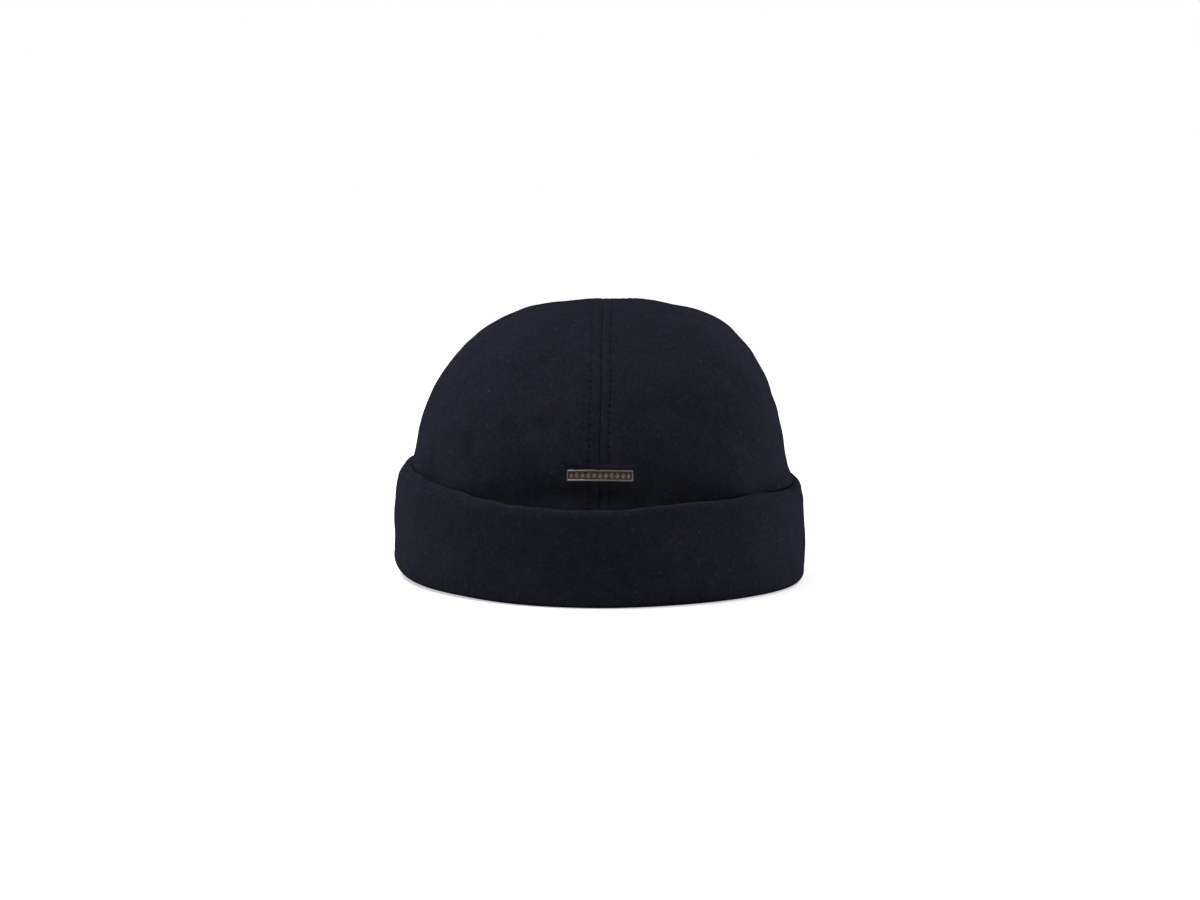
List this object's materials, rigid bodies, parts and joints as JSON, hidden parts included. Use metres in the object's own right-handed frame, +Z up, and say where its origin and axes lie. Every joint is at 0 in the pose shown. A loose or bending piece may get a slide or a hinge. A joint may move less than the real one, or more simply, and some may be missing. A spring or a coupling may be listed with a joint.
{
  "type": "docker beanie",
  "caption": "Brimless wool hat with a hollow domed crown of sewn panels, a turned-up double cuff and a small metal plate at the front.",
  "frame": {"origin": "on the surface that the hat rests on, under the middle of its box", "axes": "+Z up, -Y towards the front of the hat where the plate is, +X towards the right side of a picture taken from the front"},
  "size_m": [0.1774, 0.224, 0.1197],
  "materials": {
    "crown_wool": "felted navy wool, matt with a slight sheen",
    "cuff_wool": "felted navy wool, matt with a slight sheen",
    "plate_metal": "aged bronze colour, dark in the recess"
  },
  "bodies": {
    "root": {"crown_front_left": "crown_wool", "crown_front_right": "crown_wool", "crown_back_left": "crown_wool", "crown_back_right": "crown_wool", "cuff": "cuff_wool", "front_plate": "plate_metal"}
  },
  "joints": []
}
